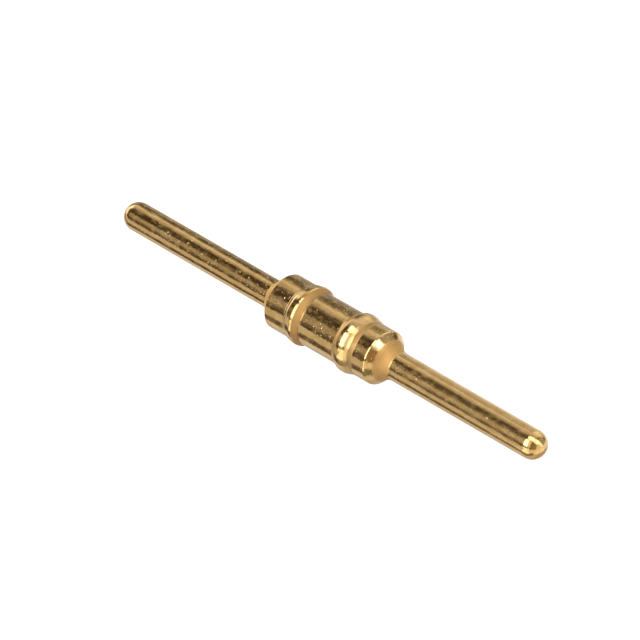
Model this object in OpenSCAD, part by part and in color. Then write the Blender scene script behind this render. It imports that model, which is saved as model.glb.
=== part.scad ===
// Turned contact pin for a printed circuit board.
// The pin lies along X with its mating end towards +X and its tail towards -X.
// A thicker body in the middle has two barbs that grip the hole of an insulator.
// All sizes are in millimetres, and angles in degrees.

/* [Pins] */
// Diameter of the straight pins at both ends
pin_d = 1.00; // [0.80:0.02:1.20]
// Length of the mating pin, from the foot of the front shoulder to the tip
mating_len = 6.65; // [3.00:0.05:12.00]
// Length of the tail, from the foot of the rear shoulder to the tip
tail_len = 6.89; // [3.00:0.05:12.00]

/* [Body] */
// Diameter of the collar behind the rear barb
rear_collar_d = 1.94; // [1.80:0.01:2.00]
// Length of the collar behind the rear barb
rear_collar_len = 0.90; // [0.40:0.05:2.00]
// Diameter of the waist between the barbs
waist_d = 1.87; // [1.70:0.01:1.95]
// Length of the waist between the barbs
waist_len = 1.45; // [0.60:0.01:4.00]
// Diameter of the collar in front of the front barb
front_collar_d = 1.885; // [1.75:0.005:2.00]
// Length of the collar in front of the front barb
front_collar_len = 0.725; // [0.400:0.005:1.500]

/* [Barbs] */
// Height of both barbs above the thickest part of the body
barb_h = 0.075; // [0.030:0.005:0.150]

/* [Rear barb] */
// Radius of the rear barb's rounded back
rear_back_round = 0.14; // [0.12:0.02:0.40]
// Length of the rear barb's land
rear_land = 0.13; // [0.02:0.01:0.40]
// Slope of the rear barb's front
rear_slope = 26; // [15:1:40]
// Radius where the rear barb's land turns into its slope
rear_crest_round = 0.27; // [0.05:0.01:0.40]
// Radius of the hollow at the foot of the rear barb's slope
rear_hollow = 0.73; // [0.20:0.01:1.20]

/* [Front barb] */
// Radius of the front barb's rounded back
front_back_round = 0.34; // [0.20:0.02:0.50]
// Length of the front barb's land
front_land = 0.02; // [0.02:0.01:0.40]
// Slope of the front barb's front
front_slope = 27; // [15:1:40]
// Radius where the front barb's land turns into its slope
front_crest_round = 0.56; // [0.05:0.01:0.80]
// Radius of the hollow at the foot of the front barb's slope
front_hollow = 0.32; // [0.20:0.01:1.20]

/* [Shoulders] */
// Radius on the edge of the rear collar
rear_edge_round = 0.06; // [0.02:0.01:0.20]
// Radius on the edge of the front collar
front_edge_round = 0.19; // [0.05:0.01:0.25]
// Radius of the hollow where the front shoulder runs into the mating pin
root_fillet = 0.68; // [0.20:0.02:0.90]

/* [Hidden] */
$fn = 128;

// How far a rounding arc reaches past the lines that it meets
bite = 0.0005;
// How far a rounding area reaches past its corner, as a multiple of its own size
margin = 1.3;
// Share of a slope that the arcs at its two ends may take up
slope_share = 0.95;

// Radii
pin_r = pin_d / 2;
rear_collar_r = rear_collar_d / 2;
waist_r = waist_d / 2;
front_collar_r = front_collar_d / 2;
barb_r = max(rear_collar_r, waist_r, front_collar_r) + barb_h;

// A barb's rounded back rises from the diameter behind it, and its slope drops to the diameter in front of it
function back_len(behind_r, round_r) =
    let (rise = min(barb_r - behind_r, round_r))
    sqrt(2 * round_r * rise - rise * rise);
function slope_len(front_r, slope) = (barb_r - front_r) / tan(slope);

// Both arcs on a slope shrink alike where they would not fit on it
function arc_share(front_r, slope, crest_round, hollow) =
    min(1, slope_share * (barb_r - front_r) / sin(slope) / ((crest_round + hollow) * tan(slope / 2)));
rear_arc_share = arc_share(waist_r, rear_slope, rear_crest_round, rear_hollow);
front_arc_share = arc_share(front_collar_r, front_slope, front_crest_round, front_hollow);
rear_crest_r = rear_arc_share * rear_crest_round;
rear_hollow_r = rear_arc_share * rear_hollow;
front_crest_r = front_arc_share * front_crest_round;
front_hollow_r = front_arc_share * front_hollow;

// Both shoulders slope at 45 degrees, so each is as long as it is high
rear_shoulder_len = rear_collar_r - pin_r;
front_shoulder_len = front_collar_r - pin_r;

// Stations along the axis, counted from the tip of the tail
tail_foot = tail_len;
rear_edge = tail_foot + rear_shoulder_len;
rear_barb_foot = rear_edge + rear_collar_len;
rear_crest = rear_barb_foot + back_len(rear_collar_r, rear_back_round);
rear_slope_top = rear_crest + rear_land + rear_crest_r * tan(rear_slope / 2);
rear_slope_foot = rear_slope_top + slope_len(waist_r, rear_slope);
waist_start = rear_slope_foot + rear_hollow_r * tan(rear_slope / 2);
front_barb_foot = waist_start + waist_len;
front_crest = front_barb_foot + back_len(waist_r, front_back_round);
front_slope_top = front_crest + front_land + front_crest_r * tan(front_slope / 2);
front_slope_foot = front_slope_top + slope_len(front_collar_r, front_slope);
front_collar_start = front_slope_foot + front_hollow_r * tan(front_slope / 2);
front_edge = front_collar_start + front_collar_len;
mating_foot = front_edge + front_shoulder_len;
overall_len = mating_foot + mating_len;

// Directions in the half section: away from the axis, then along it
inward = [-1, 0];
forward = [0, 1];
backward = [0, -1];
rear_shoulder = [-1, -1];
front_shoulder = [-1, 1];

function unit(v) = v / norm(v);

// Area between a corner and an arc that is tangent to both edges that leave it, reaching out past the corner
module corner_area(corner, edge_a, edge_b, radius) {
    a = unit(edge_a);
    b = unit(edge_b);
    half_angle = acos(a * b) / 2;
    reach = radius / tan(half_angle);
    arc_centre = corner + unit(a + b) * radius / sin(half_angle);
    outer_points = [corner + a * reach, corner, corner + b * reach];
    translate(arc_centre)
        difference() {
            polygon([[0, 0], for (p = outer_points) margin * (p - arc_centre)]);
            circle(radius + bite);
        }
}

// Half section of a barb: a rounded back, a land, and a slope with a hollow at its foot
module barb_area(front_r, crest, slope_top, slope_foot, back_r, crest_r, hollow_r) {
    back = crest - back_r;
    slope_head = [barb_r, slope_top];
    slope_end = [front_r, slope_foot];
    downhill = slope_end - slope_head;
    sunk_end = slope_end + downhill / 2;
    difference() {
        union() {
            polygon([
                [pin_r, back],
                [barb_r, back],
                slope_head,
                sunk_end,
                [pin_r, sunk_end[1]]
            ]);
            corner_area(slope_end, forward, -downhill, hollow_r);
        }
        corner_area([barb_r, back], forward, inward, back_r);
        corner_area(slope_head, backward, downhill, crest_r);
    }
}

// Half disc that rounds the tip of a pin
module tip_area(centre) {
    translate([0, centre])
        intersection() {
            circle(pin_r);
            translate([0, -pin_d]) square(2 * pin_d);
        }
}

// Half section of the pins, collars, waist and shoulders, with straight edges
module shaft_area() {
    polygon([
        [0, pin_r],
        [pin_r, pin_r],
        [pin_r, tail_foot],
        [rear_collar_r, rear_edge],
        [rear_collar_r, rear_crest],
        [waist_r, rear_crest],
        [waist_r, front_crest],
        [front_collar_r, front_crest],
        [front_collar_r, front_edge],
        [pin_r, mating_foot],
        [pin_r, overall_len - pin_r],
        [0, overall_len - pin_r]
    ]);
}

// Half section of the whole pin
module section() {
    difference() {
        union() {
            shaft_area();
            tip_area(pin_r);
            tip_area(overall_len - pin_r);
            barb_area(waist_r, rear_crest, rear_slope_top, rear_slope_foot,
                rear_back_round, rear_crest_r, rear_hollow_r);
            barb_area(front_collar_r, front_crest, front_slope_top, front_slope_foot,
                front_back_round, front_crest_r, front_hollow_r);
            corner_area([pin_r, mating_foot], forward, -front_shoulder, root_fillet);
        }
        corner_area([rear_collar_r, rear_edge], forward, rear_shoulder, rear_edge_round);
        corner_area([front_collar_r, front_edge], backward, front_shoulder, front_edge_round);
    }
}

// The whole pin, turned from one piece, with the middle of its length at the origin
module contact_pin() {
    color("#D9B45B")
        rotate([0, 90, 0])
            translate([0, 0, -overall_len / 2])
                rotate_extrude() section();
}

contact_pin();
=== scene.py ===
"""Looks of the gold-plated contact pin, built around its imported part.

Sizes are written in millimetres, and MM turns them into the frame's metres.
"""

import math

import bpy
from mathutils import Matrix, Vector


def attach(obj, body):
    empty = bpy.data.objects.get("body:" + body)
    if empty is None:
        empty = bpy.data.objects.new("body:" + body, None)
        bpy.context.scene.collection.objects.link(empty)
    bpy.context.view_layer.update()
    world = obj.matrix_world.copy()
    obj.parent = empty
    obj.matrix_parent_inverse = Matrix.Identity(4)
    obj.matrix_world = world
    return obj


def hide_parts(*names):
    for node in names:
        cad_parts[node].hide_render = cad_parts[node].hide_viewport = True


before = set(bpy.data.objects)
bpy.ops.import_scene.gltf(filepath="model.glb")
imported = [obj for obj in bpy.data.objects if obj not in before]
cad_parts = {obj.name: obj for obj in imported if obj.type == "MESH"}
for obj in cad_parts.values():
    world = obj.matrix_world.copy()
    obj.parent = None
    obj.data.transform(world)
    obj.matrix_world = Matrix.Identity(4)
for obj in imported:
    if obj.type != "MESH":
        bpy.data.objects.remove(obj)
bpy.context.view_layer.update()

MM = 0.001

# Sizes of the turned form, as in the part's source
PIN_R = 0.50
REAR_COLLAR_R = 0.97
WAIST_R = 0.935
FRONT_COLLAR_R = 0.9425
BARB_R = 1.045
TAIL_LEN = 6.89
REAR_COLLAR_LEN = 0.90
WAIST_LEN = 1.45
FRONT_COLLAR_LEN = 0.725
MATING_LEN = 6.65
REAR_EDGE_ROUND = 0.06
ROOT_FILLET = 0.68

# The barbs: radius of the rounded back, length of the land, angle of the slope, and radii of the crest and
# of the hollow at the slope's foot. The rear hollow only sets where the waist's length starts.
REAR_BARB = {"back": 0.14, "land": 0.13, "slope": math.radians(26), "crest": 0.27, "hollow": 0.73}
FRONT_BARB = {"back": 0.34, "land": 0.02, "slope": math.radians(27), "crest": 0.56, "hollow": 0.32}

# Radii that ease the corners at the feet of the barbs' backs
REAR_FOOT = 0.09
FRONT_FOOT = 0.12
# The rear barb's land rises to its crest at a small angle, and its back lies a little further back
LAND_SLOPE = math.radians(8)
BACK_SHIFT = 0.02
# A shallow run-out at the foot of the rear barb's slope, and the radii where it meets slope and waist
RUN_OUT_LEN = 0.12
RUN_OUT_ANGLE = math.radians(3)
RUN_OUT_HOLLOW = 0.30
RUN_OUT_END = 0.60
# A fine step in the rear collar, and how far before the foot of its barb it starts
STEP_BEFORE = 0.085
STEP_LEN = 0.03
STEP_H = 0.012
STEP_ROUND = 0.02
# The front collar's edge, tighter than in the part's source
FRONT_EDGE_ROUND = 0.10
# The corner where the tail meets the rear shoulder
SEAM_ROUND = 0.03

# Fineness of the turned mesh: faces round the pin, and the widest and fewest steps of an arc
SEGMENTS = 216
ARC_STEP = math.radians(5)
FEWEST_ARC_STEPS = 2
FEWEST_CORNER_STEPS = 4
# Stations along a straight stretch: the longest step between them, the shortest stretch that has any,
# and how far the first ones lie from its ends, up to a share of its length
LONGEST_STEP = 0.25
SHORTEST_STRETCH = 0.09
EDGE_STEPS = (0.006, 0.02, 0.05)
EDGE_SHARE = 0.4

# Dust grains and a nick on the surface: place along the pin, angle round it from +Y over +Z in degrees,
# half length, half width round the pin, and height
MARKS = [
    (-6.32, 127.5, 0.020, 0.085, -0.006),
    (-6.24, 83, 0.035, 0.030, 0.0060),
    (-5.00, 131, 0.022, 0.025, 0.0048),
    (-4.67, 80, 0.040, 0.030, 0.0060),
    (-4.63, 114, 0.035, 0.030, 0.0072),
    (-4.08, 120, 0.045, 0.022, 0.0054),
    (-3.92, 124, 0.022, 0.028, 0.0048),
    (-3.63, 141, 0.030, 0.022, 0.0042),
    (-3.32, 120, 0.040, 0.022, 0.0048),
    (-2.76, 118, 0.025, 0.030, 0.0054),
    (-1.53, 129, 0.030, 0.040, 0.0060),
    (-1.38, 123, 0.025, 0.035, 0.0048),
    (-0.22, 119, 0.032, 0.035, 0.0072),
    (-0.06, 79, 0.035, 0.040, 0.0072),
    (0.31, 145, 0.025, 0.030, 0.0048),
    (0.57, 82, 0.030, 0.040, 0.0060),
    (4.20, 142, 0.035, 0.026, 0.0054),
    (4.83, 128, 0.025, 0.025, 0.0042),
    (5.58, 154, 0.035, 0.028, 0.0048),
    (7.29, 135, 0.030, 0.030, 0.0036),
]
# Stations along each mark, in half lengths from its middle, and how close they may come to others
MARK_STATIONS = (-1.2, -0.9, -0.6, -0.3, 0.0, 0.3, 0.6, 0.9, 1.2)
CLOSEST_STATIONS = 0.0001


def hump(distance):
    """A smooth hump, one at its middle and zero from a distance of one on."""
    return (1 - distance * distance) ** 2 if distance < 1 else 0.0


def relief(x, r, angle):
    """How far dust and the nick lift the surface at a place."""
    lift = 0.0
    for place, turn, half_length, half_width, height in MARKS:
        if abs(x - place) < half_length:
            around = math.remainder(angle - math.radians(turn), 2 * math.pi) * r
            lift += height * hump(math.hypot((x - place) / half_length, around / half_width))
    return lift


def with_mark_stations(points):
    """The section's points, with more of them where marks need a finer mesh."""
    wanted = sorted(
        place + half_length * station
        for place, _, half_length, _, _ in MARKS
        for station in MARK_STATIONS
    )
    dense = [points[0]]
    for (x0, r0), (x1, r1) in zip(points, points[1:]):
        for x in wanted:
            if x0 + CLOSEST_STATIONS < x < x1 - CLOSEST_STATIONS:
                dense.append((x, r0 + (r1 - r0) * (x - x0) / (x1 - x0)))
        dense.append((x1, r1))
    return dense


def arc(centre_x, centre_r, radius, start, end):
    """Points along an arc of the half section, with angles from +X towards the outside."""
    steps = max(FEWEST_ARC_STEPS, math.ceil(abs(end - start) / ARC_STEP))
    angles = [start + (end - start) * i / steps for i in range(steps + 1)]
    return [(centre_x + radius * math.cos(a), centre_r + radius * math.sin(a)) for a in angles]


def rounded_corner(before, corner, after, radius):
    """Points of the arc that rounds a corner and is tangent to both of its edges."""
    corner = Vector(corner)
    to_before = (Vector(before) - corner).normalized()
    to_after = (Vector(after) - corner).normalized()
    half_angle = to_before.angle(to_after) / 2
    centre = corner + (to_before + to_after).normalized() * (radius / math.sin(half_angle))
    reach = radius / math.tan(half_angle)
    start = corner + to_before * reach - centre
    end = corner + to_after * reach - centre
    turn = start.angle(end)
    steps = max(FEWEST_CORNER_STEPS, math.ceil(turn / ARC_STEP))
    points = []
    for i in range(steps + 1):
        share = i / steps
        spoke = start * math.sin((1 - share) * turn) + end * math.sin(share * turn)
        points.append(tuple(centre + spoke / math.sin(turn)))
    return points


def barb_stations(foot, behind_r, front_r, barb):
    """Where a barb's crest, slope and hollow lie along the pin, from the foot of its rounded back on."""
    rise = BARB_R - behind_r
    half_tan = math.tan(barb["slope"] / 2)
    crest = foot + math.sqrt(2 * barb["back"] * rise - rise * rise)
    slope_top = crest + barb["land"] + barb["crest"] * half_tan
    slope_foot = slope_top + (BARB_R - front_r) / math.tan(barb["slope"])
    return {
        "crest": crest,
        "slope_top": slope_top,
        "slope_foot": slope_foot,
        "end": slope_foot + barb["hollow"] * half_tan,
    }


def back_arcs(crest, top_r, behind_r, back_r, foot_r, land_slope=0.0):
    """The rounded back of a barb, from an eased foot on the diameter behind it up to its land."""
    centre_r = top_r - back_r / math.cos(land_slope)
    reach = back_r + foot_r
    lean = math.asin((behind_r + foot_r - centre_r) / reach)
    foot_x = crest - reach * math.cos(lean)
    hollow = arc(foot_x, behind_r + foot_r, foot_r, -math.pi / 2, -lean)
    back = arc(crest, centre_r, back_r, math.pi - lean, math.pi / 2 + land_slope)
    return [(x, r, 0) for x, r in hollow + back[1:]]


def crest_corner(slope_top):
    """Corner where the rear barb's rising land meets its slope, with the top of its arc at full height."""
    slope = REAR_BARB["slope"]
    crest_r = REAR_BARB["crest"]
    lean = (slope - LAND_SLOPE) / 2
    spoke = crest_r / math.cos((slope + LAND_SLOPE) / 2)
    top_x = slope_top - crest_r * math.tan(slope / 2)
    return top_x + spoke * math.sin(lean), BARB_R - crest_r + spoke * math.cos(lean)


def run_out(slope_top):
    """Corners at the foot of the rear barb's slope, which ends in a shallow run-out on the waist."""
    rise = RUN_OUT_LEN * math.tan(RUN_OUT_ANGLE)
    start = slope_top + (BARB_R - WAIST_R - rise) / math.tan(REAR_BARB["slope"])
    return [(start, WAIST_R + rise, RUN_OUT_HOLLOW), (start + RUN_OUT_LEN, WAIST_R, RUN_OUT_END)]


def rear_barb_corners(foot, stations):
    """Corners of the step in the rear collar and of the rear barb, up to the waist."""
    step = foot - STEP_BEFORE
    step_r = REAR_COLLAR_R + STEP_H
    crest_x, crest_top = crest_corner(stations["slope_top"])
    back_x = stations["crest"] - BACK_SHIFT
    land_r = crest_top - (crest_x - back_x) * math.tan(LAND_SLOPE)
    return [
        (step, REAR_COLLAR_R, STEP_ROUND),
        (step + STEP_LEN, step_r, STEP_ROUND),
        *back_arcs(back_x, land_r, step_r, REAR_BARB["back"], REAR_FOOT, LAND_SLOPE),
        (crest_x, crest_top, REAR_BARB["crest"]),
        *run_out(stations["slope_top"]),
    ]


def front_barb_corners(stations):
    """Corners of the front barb, from the waist to the front collar."""
    return [
        *back_arcs(stations["crest"], BARB_R, WAIST_R, FRONT_BARB["back"], FRONT_FOOT),
        (stations["slope_top"], BARB_R, FRONT_BARB["crest"]),
        (stations["slope_foot"], FRONT_COLLAR_R, FRONT_BARB["hollow"]),
    ]


def section_corners():
    """Corners of the half section from tail tip to mating tip, each with the radius that rounds it."""
    rear_edge = TAIL_LEN + REAR_COLLAR_R - PIN_R
    rear_foot = rear_edge + REAR_COLLAR_LEN
    rear = barb_stations(rear_foot, REAR_COLLAR_R, WAIST_R, REAR_BARB)
    front = barb_stations(rear["end"] + WAIST_LEN, WAIST_R, FRONT_COLLAR_R, FRONT_BARB)
    front_edge = front["end"] + FRONT_COLLAR_LEN
    mating_foot = front_edge + FRONT_COLLAR_R - PIN_R
    length = mating_foot + MATING_LEN
    tail_tip = [(x, r, 0) for x, r in arc(PIN_R, 0, PIN_R, math.pi, math.pi / 2)]
    mating_tip = [(x, r, 0) for x, r in arc(length - PIN_R, 0, PIN_R, math.pi / 2, 0)]
    corners = [
        *tail_tip,
        (TAIL_LEN, PIN_R, SEAM_ROUND),
        (rear_edge, REAR_COLLAR_R, REAR_EDGE_ROUND),
        *rear_barb_corners(rear_foot, rear),
        *front_barb_corners(front),
        (front_edge, FRONT_COLLAR_R, FRONT_EDGE_ROUND),
        (mating_foot, PIN_R, ROOT_FILLET),
        *mating_tip,
    ]
    return [(x - length / 2, r, rounding) for x, r, rounding in corners]


def steps_along(gap):
    """Stations along a straight stretch: close together near its ends, and never far apart."""
    if gap < SHORTEST_STRETCH:
        return []
    near = [d for d in EDGE_STEPS if d < gap * EDGE_SHARE]
    far = [gap - d for d in reversed(near)]
    first = near[-1]
    last = far[0]
    count = max(1, math.ceil((last - first) / LONGEST_STEP))
    middle = [first + (last - first) * i / count for i in range(1, count)]
    return near + middle + far


def half_section():
    """The rounded half section as points (x, r)."""
    corners = section_corners()
    bends = []
    for i, (x, r, rounding) in enumerate(corners):
        if rounding:
            bends.extend(rounded_corner(corners[i - 1][:2], (x, r), corners[i + 1][:2], rounding))
        else:
            bends.append((x, r))
    points = [bends[0]]
    for (x0, r0), (x1, r1) in zip(bends, bends[1:]):
        gap = math.hypot(x1 - x0, r1 - r0)
        for d in steps_along(gap):
            points.append((x0 + (x1 - x0) * d / gap, r0 + (r1 - r0) * d / gap))
        points.append((x1, r1))
    return points


def turned_faces(ring_count):
    """Faces between the rings of a turned mesh, and to the point on the axis at each end."""
    first_ring = 1
    last_ring = first_ring + (ring_count - 1) * SEGMENTS
    end_point = last_ring + SEGMENTS
    faces = []
    for k in range(SEGMENTS):
        after = (k + 1) % SEGMENTS
        faces.append((0, first_ring + after, first_ring + k))
        faces.append((end_point, last_ring + k, last_ring + after))
        for ring in range(first_ring, last_ring, SEGMENTS):
            ahead = ring + SEGMENTS
            faces.append((ring + k, ring + after, ahead + after, ahead + k))
    return faces


def turned_mesh(name, points):
    """A closed mesh turned about X from points (x, r) that start and end on the axis."""
    rings = points[1:-1]
    verts = [(points[0][0] * MM, 0, 0)]
    for x, r in rings:
        for k in range(SEGMENTS):
            angle = 2 * math.pi * k / SEGMENTS
            out = (r + relief(x, r, angle)) * MM
            verts.append((x * MM, out * math.cos(angle), out * math.sin(angle)))
    verts.append((points[-1][0] * MM, 0, 0))
    mesh = bpy.data.meshes.new(name)
    mesh.from_pydata(verts, [], turned_faces(len(rings)))
    mesh.shade_smooth()
    mesh.validate()
    return mesh


class Nodes:
    """Short calls that add shader nodes to a tree and link them."""

    def __init__(self, tree):
        self.tree = tree
        tree.nodes.clear()

    def add(self, kind, inputs=None, **settings):
        """A new node with these settings, and with its inputs linked to sockets or set to plain values."""
        node = self.tree.nodes.new(kind)
        for name, value in settings.items():
            setattr(node, name, value)
        for name, value in (inputs or {}).items():
            if isinstance(value, bpy.types.NodeSocket):
                self.tree.links.new(value, node.inputs[name])
            else:
                node.inputs[name].default_value = value
        return node

    def calc(self, operation, *values):
        """One operation on two values, and then on its result and each further value."""
        result = values[0]
        for value in values[1:]:
            node = self.add("ShaderNodeMath", {0: result, 1: value}, operation=operation)
            result = node.outputs[0]
        return result

    def smooth(self, value, start, end, low=0.0, high=1.0):
        """A smooth step from low at start to high at end."""
        inputs = {"Value": value, "From Min": start, "From Max": end, "To Min": low, "To Max": high}
        node = self.add("ShaderNodeMapRange", inputs, interpolation_type="SMOOTHSTEP")
        return node.outputs["Result"]

    def within(self, value, low, high, low_blur, high_blur):
        """One between two limits and zero outside them, with soft edges."""
        above = self.smooth(value, low - low_blur, low + low_blur)
        below = self.smooth(value, high - high_blur, high + high_blur, 1, 0)
        return self.calc("MULTIPLY", above, below)

    def noise(self, vector, scale, detail, roughness):
        """A noise with values round one half."""
        inputs = {"Vector": vector, "Scale": scale, "Detail": detail, "Roughness": roughness}
        return self.add("ShaderNodeTexNoise", inputs).outputs["Fac"]

    def mix(self, factor, first, second):
        """A colour between two others."""
        inputs = {"Factor": factor, "A": first, "B": second}
        return self.add("ShaderNodeMix", inputs, data_type="RGBA").outputs["Result"]

    def parts(self, vector):
        """The x, y and z of a vector."""
        return self.add("ShaderNodeSeparateXYZ", {0: vector}).outputs

    def scaled(self, vector, factor):
        """A vector or colour times one number."""
        node = self.add("ShaderNodeVectorMath", {0: vector, "Scale": factor}, operation="SCALE")
        return node.outputs["Vector"]

    def stretched(self, vector, shares):
        """A vector with its x, y and z each times a share of their own."""
        node = self.add("ShaderNodeVectorMath", {0: vector, 1: shares}, operation="MULTIPLY")
        return node.outputs["Vector"]

    def dot(self, vector, direction):
        """How far a vector reaches in a direction."""
        node = self.add("ShaderNodeVectorMath", {0: vector, 1: direction}, operation="DOT_PRODUCT")
        return node.outputs["Value"]

    def length(self, vector):
        """How long a vector is."""
        return self.add("ShaderNodeVectorMath", {0: vector}, operation="LENGTH").outputs["Value"]

    def add_shaders(self, *shaders):
        """The sum of all these shaders."""
        total = shaders[0]
        for shader in shaders[1:]:
            total = self.add("ShaderNodeAddShader", {0: total, 1: shader}).outputs["Shader"]
        return total


def new_material(name):
    """An empty material, and the calls that add nodes to it."""
    material = bpy.data.materials.new(name)
    material.use_nodes = True
    return material, Nodes(material.node_tree)


def add_object(name, data):
    """A new object in the scene."""
    added = bpy.data.objects.new(name, data)
    bpy.context.scene.collection.objects.link(added)
    return added


def srgb(red, green, blue):
    """A colour in steps from 0 to 255, as the linear colour that shaders take, by the sRGB formula."""
    def linear(step):
        c = step / 255
        return c / 12.92 if c <= 0.04045 else ((c + 0.055) / 1.055) ** 2.4
    return (linear(red), linear(green), linear(blue), 1.0)


# The plating's colours where it is polished, where the form tool cut, and under dust
BRIGHT_GOLD = srgb(207, 174, 119)
DEEP_GOLD = srgb(199, 162, 101)
CUT_GOLD = srgb(202, 164, 103)
CUT_DEEP = srgb(192, 151, 92)
DUST = srgb(214, 190, 150)

# Stretches along the pin that the form tool left duller: from and to, how softly each begins and ends,
# its roughness, and its painted shading: a factor on its colour that paints shade where below one and light
# where above one
DULL_AND_PAINTED_STRETCHES = {
    "rear_shoulder": (-2.58, -2.13, 0.02, 0.02, 0.50, 1.3),
    "rear_ramp": (-0.855, -0.594, 0.02, 0.028, 0.60, 0.72),
    "rear_ramp_foot": (-0.638, -0.586, 0.014, 0.02, 0.20, 0.76),
    "rear_run_out": (-0.62, -0.50, 0.03, 0.04, 0.20, 1.0),
    "front_back": (0.92, 1.16, 0.04, 0.03, 0.36, 1.0),
    "front_ramp": (1.48, 1.66, 0.03, 0.03, 0.30, 0.88),
    "front_foot": (1.64, 1.83, 0.02, 0.04, 0.42, 0.85),
    "front_shoulder": (2.57, 3.05, 0.05, 0.07, 0.62, 0.87),
    "mating_pin": (3.00, 9.05, 0.02, 0.15, 0.15, 1.0),
}

# The part of a place that lies across the pin, and the direction of the side where most dust lies
ACROSS = (0.0, 1.0, 1.0)
DUSTY_SIDE = (0.0, 0.326, 0.945)
# How much streaks and clouds are drawn out along the pin, as shares of their fineness
STREAK_SHAPE = (0.3, 1.0, 1.0)
CLOUD_SHAPE = (0.55, 1.0, 1.0)

# Noises: scale per millimetre, detail and roughness
MOTTLE = (2.2, 4, 0.55)
GRAIN = (11.0, 4, 0.6)
FLECKS = (19.0, 2, 0.55)
STREAKS = (4.0, 3, 0.55)
TARNISH = (5.0, 4, 0.55)
FILM = (7.0, 4, 0.6)
RINGS = (30.0, 3, 0.55)
DUST_CROWDS = (0.9, 2, 0.55)
MIDDLE_OF_NOISE = 0.5

# Smooth steps of a noise, a dullness, a side or a place along the pin: from and to, and the results there
MOTTLE_STEP = (0.35, 0.65, 0.0, 1.0)
FLECK_STEP = (0.56, 0.74, 0.0, 1.0)
RING_TONES = (0.35, 0.65, 0.0, 1.0)
GRAIN_POLISH = (0.35, 0.75, 0.05, 0.13)
STREAK_DULLNESS = (0.48, 0.68, 0.0, 0.08)
FILM_COVER = (0.46, 0.66, 0.0, 0.18)
CUT_FROM_DULLNESS = (0.2, 0.5, 0.0, 1.0)
TARNISH_STEP = (0.42, 0.60, 0.0, 1.0)
TARNISH_SIDE = (0.85, 0.95, 0.0, 1.0)
TARNISH_PLACES = (1.0, 2.5, 1.0, 0.0)
DUST_ODDS_IN_CROWDS = (0.38, 0.65, 0.03, 0.30)
DUST_ODDS_ON_SIDE = (0.84, 0.97, 0.0, 0.5)
DUST_PLACES = (0.0, 4.0, 1.0, 0.5)

# Fine and coarse specks of dust: grid cells per millimetre, and the odds of a coarse one for each fine one.
# A speck's radius is the smallest plus a random part of the spread, and its sharp core is a share of that.
FINE_DUST = 16.0
COARSE_DUST = 8.0
COARSE_ODDS = 0.4
SMALLEST_SPECK = 0.1
SPECK_SPREAD = 0.22
SPECK_CORE = 0.6

# What tarnish, dust and rings do to the gold
TARNISH_DARKENING = 0.38
DUST_COLOUR = 0.7
DUST_ROUGHNESS = 0.4
DUST_COVER = 0.5
RING_ROUGHNESS = 0.3
# Depth of the fine relief, and the share of it that each pattern has beside the rings
RELIEF_DEPTH = 0.004
GRAIN_RELIEF = 0.75
DUST_RELIEF = 0.5
FLECK_RELIEF = 0.16
STREAK_RELIEF = 1.6


def dull_and_painted_stretches(nodes, along):
    """How rough the form tool left the surface along the pin, and the light and shade painted onto its
    colour there.
    """
    dull = 0.0
    painted_shading = 1.0
    for start, end, start_blur, end_blur, roughness, painted_stretch_shading in DULL_AND_PAINTED_STRETCHES.values():
        inside = nodes.within(along, start, end, start_blur, end_blur)
        dull = nodes.calc("MAXIMUM", dull, nodes.calc("MULTIPLY", inside, roughness))
        painted_shading = nodes.calc("SUBTRACT", painted_shading, nodes.calc("MULTIPLY", inside, 1 - painted_stretch_shading))
    return dull, painted_shading


def specks(nodes, spot, scale, odds):
    """A mask of small round specks, one in each chosen cell of a grid."""
    cells = nodes.add("ShaderNodeTexVoronoi", {"Vector": spot, "Scale": scale})
    lots = nodes.add("ShaderNodeSeparateColor", {0: cells.outputs["Color"]}).outputs
    chosen = nodes.calc("LESS_THAN", lots[0], odds)
    size = nodes.calc("ADD", nodes.calc("MULTIPLY", lots[1], SPECK_SPREAD), SMALLEST_SPECK)
    core = nodes.calc("MULTIPLY", size, SPECK_CORE)
    near = nodes.smooth(cells.outputs["Distance"], core, size, 1, 0)
    return nodes.calc("MULTIPLY", chosen, near)


def dust(nodes, spot, along, side):
    """A mask of dust, thicker in crowds and on the dusty side, and thinner towards the mating end."""
    crowds = nodes.noise(spot, *DUST_CROWDS)
    odds = nodes.calc(
        "ADD",
        nodes.smooth(crowds, *DUST_ODDS_IN_CROWDS),
        nodes.smooth(side, *DUST_ODDS_ON_SIDE),
    )
    odds = nodes.calc("MULTIPLY", odds, nodes.smooth(along, *DUST_PLACES))
    fine = specks(nodes, spot, FINE_DUST, odds)
    coarse = specks(nodes, spot, COARSE_DUST, nodes.calc("MULTIPLY", odds, COARSE_ODDS))
    return nodes.calc("MAXIMUM", fine, coarse)


def tarnish(nodes, drawn_out, along, side, cut):
    """A mask of tarnish: patches on the dusty side of the tail and the body, away from what was cut."""
    return nodes.calc(
        "MULTIPLY",
        nodes.smooth(nodes.noise(drawn_out, *TARNISH), *TARNISH_STEP),
        nodes.smooth(side, *TARNISH_SIDE),
        nodes.calc("SUBTRACT", 1.0, cut),
        nodes.smooth(along, *TARNISH_PLACES),
    )


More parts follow.
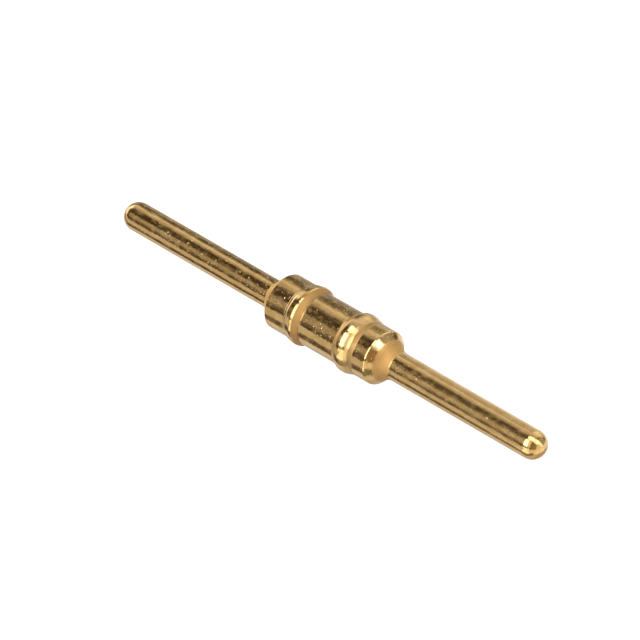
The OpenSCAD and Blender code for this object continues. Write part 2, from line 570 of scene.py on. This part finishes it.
def plating_patterns(nodes):
    """The patterns by place on the pin that the plating's colour, roughness and relief share."""
    spot = nodes.scaled(nodes.add("ShaderNodeTexCoord").outputs["Object"], 1 / MM)
    along = nodes.parts(spot)[0]
    radius = nodes.length(nodes.stretched(spot, ACROSS))
    ring_place = nodes.add("ShaderNodeCombineXYZ", {0: along, 1: radius}).outputs["Vector"]
    side = nodes.calc("DIVIDE", nodes.dot(spot, DUSTY_SIDE), radius)
    drawn_out = nodes.stretched(spot, STREAK_SHAPE)
    dull, painted_shading = dull_and_painted_stretches(nodes, along)
    cut = nodes.smooth(dull, *CUT_FROM_DULLNESS)
    darkening = nodes.calc("MULTIPLY", tarnish(nodes, drawn_out, along, side, cut), TARNISH_DARKENING)
    return {
        "spot": spot,
        "dull": dull,
        "cut": cut,
        # The colour's factor: the light and shade painted along the stretches, less the tarnish's darkening
        "painted_shading": nodes.calc("SUBTRACT", painted_shading, darkening),
        "dust": dust(nodes, spot, along, side),
        "grain": nodes.noise(spot, *GRAIN),
        "streaks": nodes.noise(drawn_out, *STREAKS),
        "rings": nodes.noise(ring_place, *RINGS),
    }


def plating_colour(nodes, patterns):
    """Mottled gold with dust on it, and ringed tones where the form tool cut, times painted light and shade
    and tarnish.
    """
    mottle = nodes.smooth(nodes.noise(patterns["spot"], *MOTTLE), *MOTTLE_STEP)
    gold = nodes.mix(mottle, BRIGHT_GOLD, DEEP_GOLD)
    dusted = nodes.mix(nodes.calc("MULTIPLY", patterns["dust"], DUST_COLOUR), gold, DUST)
    cut_gold = nodes.mix(nodes.smooth(patterns["rings"], *RING_TONES), CUT_GOLD, CUT_DEEP)
    return nodes.scaled(nodes.mix(patterns["cut"], dusted, cut_gold), patterns["painted_shading"])


def plating_roughness(nodes, patterns):
    """A polish that grain and streaks soften, duller on cut stretches, along their rings and under dust."""
    polish = nodes.calc(
        "ADD",
        nodes.smooth(patterns["grain"], *GRAIN_POLISH),
        nodes.smooth(patterns["streaks"], *STREAK_DULLNESS),
    )
    dusty = nodes.calc("MULTIPLY", patterns["dust"], DUST_ROUGHNESS)
    rough = nodes.calc("MAXIMUM", polish, patterns["dull"], dusty)
    uneven = nodes.calc("SUBTRACT", patterns["rings"], MIDDLE_OF_NOISE)
    return nodes.calc("ADD", rough, nodes.calc("MULTIPLY", uneven, patterns["cut"], RING_ROUGHNESS))


def plating_metal(nodes, patterns):
    """How much bare metal shows: film and dust cover a part of it."""
    clouds = nodes.noise(nodes.stretched(patterns["spot"], CLOUD_SHAPE), *FILM)
    film = nodes.smooth(clouds, *FILM_COVER)
    dusty = nodes.calc("MULTIPLY", patterns["dust"], DUST_COVER)
    return nodes.calc("SUBTRACT", 1.0, nodes.calc("MAXIMUM", film, dusty))


def plating_relief(nodes, patterns):
    """The surface's direction over grain, dust, flecks, streaks and turning rings."""
    flecks = nodes.smooth(nodes.noise(patterns["spot"], *FLECKS), *FLECK_STEP)
    height = nodes.calc(
        "ADD",
        nodes.calc("MULTIPLY", patterns["grain"], GRAIN_RELIEF),
        nodes.calc("MULTIPLY", patterns["dust"], DUST_RELIEF),
        nodes.calc("MULTIPLY", flecks, FLECK_RELIEF),
        nodes.calc("MULTIPLY", patterns["streaks"], STREAK_RELIEF),
        nodes.calc("MULTIPLY", patterns["rings"], patterns["cut"]),
    )
    inputs = {"Strength": 1.0, "Distance": RELIEF_DEPTH * MM, "Height": height}
    return nodes.add("ShaderNodeBump", inputs).outputs["Normal"]


def gold_material():
    """Gold plating with its dull cut stretches, dust, film and tarnish."""
    material, nodes = new_material("gold_plating")
    patterns = plating_patterns(nodes)
    shader = nodes.add("ShaderNodeBsdfPrincipled", {
        "Base Color": plating_colour(nodes, patterns),
        "Roughness": plating_roughness(nodes, patterns),
        "Metallic": plating_metal(nodes, patterns),
        "Normal": plating_relief(nodes, patterns),
    })
    nodes.add("ShaderNodeOutputMaterial", {"Surface": shader.outputs["BSDF"]})
    return material


def make_pin():
    """The dressed pin, which stands for the solid one."""
    points = with_mark_stations(half_section())
    pin = add_object("turned_pin", turned_mesh("turned_pin", points))
    pin.data.materials.append(gold_material())
    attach(pin, "root")
    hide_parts("contact_pin")


# The floor, which lies below the held pin: how far down, and how far to the front and to the other sides
FLOOR_DROP = 30.0
FLOOR_FRONT = 170.0
FLOOR_FAR = 400.0
# Its paper, and how much what is seen of it is lifted towards white
PAPER = (0.55, 0.55, 0.55, 1.0)
PAPER_LIFT = 0.35


def flat_object(name, corners, material):
    """An object with one face between its corners."""
    mesh = bpy.data.meshes.new(name)
    mesh.from_pydata([Vector(corner) * MM for corner in corners], [], [range(len(corners))])
    mesh.materials.append(material)
    return add_object(name, mesh)


def flat_corners(x, y, z):
    """Corners in order round a flat shape between two x and two y, with one z for each y."""
    return [(x[0], y[0], z[0]), (x[1], y[0], z[0]), (x[1], y[1], z[1]), (x[0], y[1], z[1])]


def floor_material():
    """White paper that keeps its shadow: what the camera and the metal see of it is lifted to white."""
    material, nodes = new_material("paper")
    paper = nodes.add("ShaderNodeBsdfDiffuse", {"Color": PAPER}).outputs["BSDF"]
    path = nodes.add("ShaderNodeLightPath").outputs
    seen = nodes.calc("ADD", path["Is Camera Ray"], path["Is Glossy Ray"], path["Is Transmission Ray"])
    lift = nodes.calc("MULTIPLY", seen, PAPER_LIFT)
    glow = nodes.add("ShaderNodeEmission", {"Strength": lift}).outputs["Emission"]
    nodes.add("ShaderNodeOutputMaterial", {"Surface": nodes.add_shaders(paper, glow)})
    return material


def make_floor():
    """A level floor, which isn't part of the object."""
    level = (-FLOOR_DROP, -FLOOR_DROP)
    corners = flat_corners((-FLOOR_FAR, FLOOR_FAR), (-FLOOR_FRONT, FLOOR_FAR), level)
    flat_object("floor", corners, floor_material())


# The studio's dark, which every zone and card adds its light to
STUDIO_DARK = (0.10, 0.078, 0.056, 1.0)

# Cards that only the metal sees, which paint its reflections: corners and brightness. Most lie just above
# the floor.
LOW = (-29.6, -29.6)
ABOVE_LOW = (-29.4, -29.4)
TILTED = (-21.6, -29.5)
PAINTED_REFLECTION_CARDS = {
    # The dark cards paint the pin's shadow and shade on the floor below it, and a dark back, into the
    # reflections; front_white and right_white paint bright reflected patches.
    "lower_black": (flat_corners((-150, -14), (-26, -13.2), TILTED), 0.06),
    "lower_brown": (flat_corners((-14, 34), (-26, -13.2), TILTED), 0.25),
    "lower_grey": (flat_corners((-150, 90), (-13.1, -1), LOW), 0.84),
    "lower_dim": (flat_corners((-150, 90), (-0.9, 45), LOW), 0.58),
    "front_white": (flat_corners((-24, 24), (-169, -28), LOW), 2.0),
    "front_dim": (flat_corners((-150, -24.1), (-150, -28), LOW), 0.72),
    "right_white": (flat_corners((40, 150), (-27, 60), ABOVE_LOW), 1.45),
    "back_grey": ([(-160, 30, -14), (-17, 30, -14), (-20, 30, 15), (-160, 30, 15)], 0.45),
    "back_dark": ([(-160, 30, 15.1), (-20, 30, 15.1), (-24, 30, 25), (-31, 30, 38), (-160, 30, 38)], 0.12),
}


def make_painted_reflection_card(name, corners, brightness):
    """A glowing card that neither the camera nor the floor sees, and that paints a reflection on the metal.
    """
    material, nodes = new_material(name)
    colour = [brightness + dark for dark in STUDIO_DARK[:3]] + [1.0]
    glow = nodes.add("ShaderNodeEmission", {"Color": colour}).outputs["Emission"]
    nodes.add("ShaderNodeOutputMaterial", {"Surface": glow})
    card = flat_object(name, corners, material)
    card.visible_camera = False
    card.visible_diffuse = False
    card.visible_shadow = False


# Zones of the studio by direction: x from and to, angle round the pin from and to, brightness, and blur of
# x and of the angle. The angle is in degrees from straight behind the pin (+Y) over the top (+Z), and it is
# negative below the pin.
STUDIO = {
    "low_back": (-1.2, 0.1, -40, 22, 0.85, 0.10, 5),
    "back": (-1.2, 0.1, 20, 54, 0.65, 0.10, 5),
    "back_right": (-0.45, 0.32, 20, 62, 1.35, 0.08, 6),
    "overhead": (-0.9, 0.4, 57, 77, 0.95, 0.08, 7),
    "overhead_front": (-0.9, 0.4, 60, 92, 0.62, 0.08, 10),
    "front_upper": (-0.33, 0.44, 94, 113, 4.5, 0.08, 3),
    "front": (-0.44, 0.05, 124.5, 171, 5.4, 0.02, 2),
    "front_low": (-0.44, 0.40, -178, -155, 2.2, 0.03, 2),
    "front_right": (0.0, 0.42, 121, 172, 1.2, 0.05, 3),
    "front_left": (-0.75, -0.46, 137, 166, 0.39, 0.06, 5),
    "front_left_low": (-0.75, -0.46, 166, 187, 0.10, 0.06, 5),
    "left_back": (-2.0, -0.76, 0, 100, 2.2, 0.05, 5),
    "left": (-2.0, -0.92, -200, 200, 1.6, 0.03, 5),
    "right_back": (0.30, 1.2, -20, 62, 0.45, 0.12, 6),
    "right_front": (0.35, 1.2, 100, 119, 1.1, 0.10, 6),
    "right_low": (0.35, 1.2, 128, 200, 0.20, 0.08, 6),
    "right_far": (0.93, 2.0, -200, 200, 1.15, 0.04, 5),
}
WHITE = (1.0, 1.0, 1.0, 1.0)

# A strip lamp that runs from high in front over to the right: the direction square to it, its two edges as
# distances from the plane square to that, where it starts and ends in x, blur and brightness
STRIP_NORMAL = (-0.357, 0.897, 0.259)
STRIP_EDGES = (-0.24, 0.18)
STRIP_REACH = (-0.12, 0.95)
STRIP_BLUR = 0.06
STRIP_GLOW = 2.4

# Two round zones, a lamp's bright middle and a brown patch: direction, and half angle and blur in degrees
LAMP_MIDDLE = ((0.79, 0.07, 0.61), 10, 4)
LAMP_GLOW = 6.0
BROWN_ZONE = ((0.76, -0.60, 0.24), 19, 8)
BROWN = (0.35, 0.22, 0.095, 1.0)


def round_zone(nodes, direction, centre, half_angle, blur):
    """One inside a round zone of directions and zero outside it, with a soft edge."""
    outer = math.cos(math.radians(half_angle + blur))
    inner = math.cos(math.radians(half_angle - blur))
    return nodes.smooth(nodes.dot(direction, Vector(centre).normalized()), outer, inner)


def studio_light(nodes, direction):
    """The light by direction, from the studio's zones, its strip lamp and the middle of its lamp."""
    x, y, z = nodes.parts(direction)
    turn = nodes.calc("MULTIPLY", nodes.calc("ARCTAN2", z, y), math.degrees(1))
    light = 0.0
    for x_from, x_to, turn_from, turn_to, brightness, x_blur, turn_blur in STUDIO.values():
        in_x = nodes.within(x, x_from, x_to, x_blur, x_blur)
        in_turn = nodes.within(turn, turn_from, turn_to, turn_blur, turn_blur)
        light = nodes.calc("MAXIMUM", light, nodes.calc("MULTIPLY", in_x, in_turn, brightness))
    across_strip = nodes.within(nodes.dot(direction, STRIP_NORMAL), *STRIP_EDGES, STRIP_BLUR, STRIP_BLUR)
    along_strip = nodes.within(x, *STRIP_REACH, STRIP_BLUR, STRIP_BLUR)
    strip = nodes.calc("MULTIPLY", across_strip, along_strip, STRIP_GLOW)
    lamp = nodes.calc("MULTIPLY", round_zone(nodes, direction, *LAMP_MIDDLE), LAMP_GLOW)
    return nodes.calc("MAXIMUM", light, strip, lamp)


def background(nodes, colour, strength):
    """Light of one colour from the world, with a strength that may change with direction."""
    return nodes.add("ShaderNodeBackground", {"Color": colour, "Strength": strength}).outputs["Background"]


def make_world():
    """The studio, as light that comes from the world by direction."""
    world = bpy.data.worlds.new("studio")
    bpy.context.scene.world = world
    world.use_nodes = True
    nodes = Nodes(world.node_tree)
    direction = nodes.add("ShaderNodeTexCoord").outputs["Generated"]
    brown = round_zone(nodes, direction, *BROWN_ZONE)
    light = nodes.calc("MULTIPLY", studio_light(nodes, direction), nodes.calc("SUBTRACT", 1.0, brown))
    studio = nodes.add_shaders(
        background(nodes, STUDIO_DARK, 1.0),
        background(nodes, WHITE, light),
        background(nodes, BROWN, brown),
    )
    nodes.add("ShaderNodeOutputWorld", {"Surface": studio})


# The photograph's view: its side and scale in pixels, and a point of the pin with the pixel where it lies
IMAGE_SIDE = 640
PIXELS_PER_MM = 31.0
AIM_POINT = Vector((0.2455, 0.0, 0.0))
AIM_PIXEL = (336.35, 330.65)
# The camera: its sensor, where it stands, and the nearest and farthest that it sees
SENSOR = 36.0
CAMERA_DISTANCE = 240.0
AZIMUTH = math.radians(45.0)
ELEVATION = math.radians(35.264)
NEAREST_SEEN = 24.0
FARTHEST_SEEN = 10000.0


def make_camera():
    """The camera at the photograph's viewing angle, scale and framing."""
    back = Vector((
        math.sin(AZIMUTH) * math.cos(ELEVATION),
        -math.cos(AZIMUTH) * math.cos(ELEVATION),
        math.sin(ELEVATION),
    ))
    right = Vector((math.cos(AZIMUTH), math.sin(AZIMUTH), 0))
    up = back.cross(right)
    middle = (IMAGE_SIDE - 1) / 2
    left_by = (AIM_PIXEL[0] - middle) / PIXELS_PER_MM
    up_by = (AIM_PIXEL[1] - middle) / PIXELS_PER_MM
    data = bpy.data.cameras.new("camera")
    data.sensor_width = SENSOR
    data.lens = PIXELS_PER_MM * CAMERA_DISTANCE * SENSOR / IMAGE_SIDE
    data.clip_start = NEAREST_SEEN * MM
    data.clip_end = FARTHEST_SEEN * MM
    camera = add_object("camera", data)
    camera.location = (AIM_POINT + back * CAMERA_DISTANCE - right * left_by + up * up_by) * MM
    camera.rotation_mode = "QUATERNION"
    camera.rotation_quaternion = (-back).to_track_quat("-Z", "Y")
    bpy.context.scene.camera = camera


make_camera()
make_pin()
make_floor()
# Cards that paint light and shade into the metal's reflections
for card_name, (card_corners, card_glow) in PAINTED_REFLECTION_CARDS.items():
    make_painted_reflection_card(card_name, card_corners, card_glow)
make_world()
bpy.context.scene.view_settings.view_transform = "Standard"
